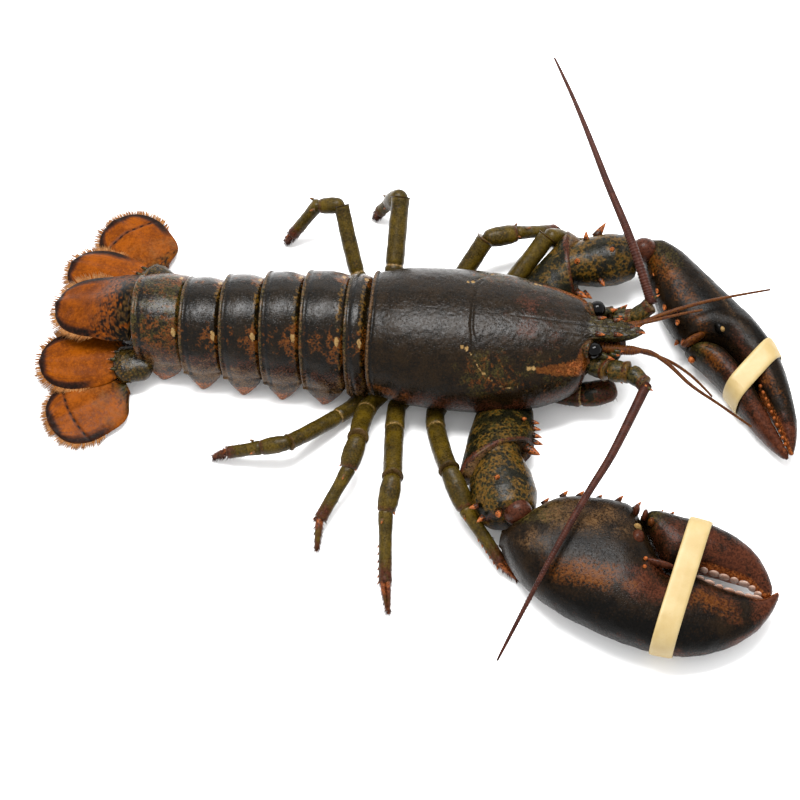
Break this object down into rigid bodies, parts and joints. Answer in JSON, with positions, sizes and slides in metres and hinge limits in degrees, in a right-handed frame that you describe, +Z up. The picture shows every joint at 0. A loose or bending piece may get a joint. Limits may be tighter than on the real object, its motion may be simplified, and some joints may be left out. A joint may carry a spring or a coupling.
{
  "type": "raw american lobster with banded claws",
  "caption": "Whole raw American lobster lying on its belly, dark shelled, with its large front claws held shut by rubber bands.",
  "frame": {"origin": "on the ground, under the middle of the box round the whole animal", "axes": "+X towards the head, +Y to the animal's left, +Z up"},
  "size_m": [0.3433, 0.3041, 0.0461],
  "materials": {
    "shell_dark": "wet glossy shell, near-black brown with orange and cream mottling",
    "shell_belly": "smooth satin shell, brown to orange",
    "shell_olive": "satin shell, olive green with orange and black mottling",
    "tail_orange": "thin glossy tail blade, burnt orange with a dark rim and a fringe of hairs",
    "claw_dark": "glossy pitted shell, black-brown to red-brown with orange spines",
    "feeler_red": "finely ringed satin feeler, dark red-brown",
    "eye_black": "polished black",
    "band_cream": "matte pale yellow rubber, bare of print"
  },
  "bodies": {
    "root": {"carapace": "shell_dark", "sternum": "shell_belly", "abdomen_1": "shell_dark", "abdomen_2": "shell_dark", "abdomen_3": "shell_dark", "abdomen_4": "shell_dark", "abdomen_5": "shell_dark", "abdomen_6": "shell_dark", "telson": "tail_orange", "uropod_inner_left": "tail_orange", "uropod_outer_left": "tail_orange", "uropod_base_left": "shell_olive", "uropod_inner_right": "tail_orange", "uropod_outer_right": "tail_orange", "uropod_base_right": "shell_olive", "leg_left_1_upper": "shell_olive", "leg_left_1_middle": "shell_olive", "leg_left_1_hand": "shell_olive", "leg_left_2_upper": "shell_olive", "leg_left_2_middle": "shell_olive", "leg_left_2_hand": "shell_olive", "leg_left_3_upper": "shell_olive", "leg_left_3_middle": "shell_olive", "leg_left_3_hand": "shell_olive", "leg_left_4_upper": "shell_olive", "leg_left_4_middle": "shell_olive", "leg_left_4_hand": "shell_olive", "leg_right_1_upper": "shell_olive", "leg_right_1_middle": "shell_olive", "leg_right_1_hand": "shell_olive", "leg_right_2_upper": "shell_olive", "leg_right_2_middle": "shell_olive", "leg_right_2_hand": "shell_olive", "leg_right_3_upper": "shell_olive", "leg_right_3_middle": "shell_olive", "leg_right_3_hand": "shell_olive", "leg_right_4_upper": "shell_olive", "leg_right_4_middle": "shell_olive", "leg_right_4_hand": "shell_olive", "claw_left_arm": "shell_olive", "claw_left_wrist": "shell_olive", "claw_left_palm": "claw_dark", "claw_left_finger": "claw_dark", "claw_left_band": "band_cream", "claw_right_arm": "shell_olive", "claw_right_wrist": "shell_olive", "claw_right_palm": "claw_dark", "claw_right_finger": "claw_dark", "claw_right_band": "band_cream", "eye_left": "eye_black", "antenna_base_left": "feeler_red", "antenna_left": "feeler_red", "antennule_left": "feeler_red", "maxilliped_left": "shell_olive", "eye_right": "eye_black", "antenna_base_right": "feeler_red", "antenna_right": "feeler_red", "antennule_right": "feeler_red", "maxilliped_right": "shell_olive"}
  },
  "joints": []
}
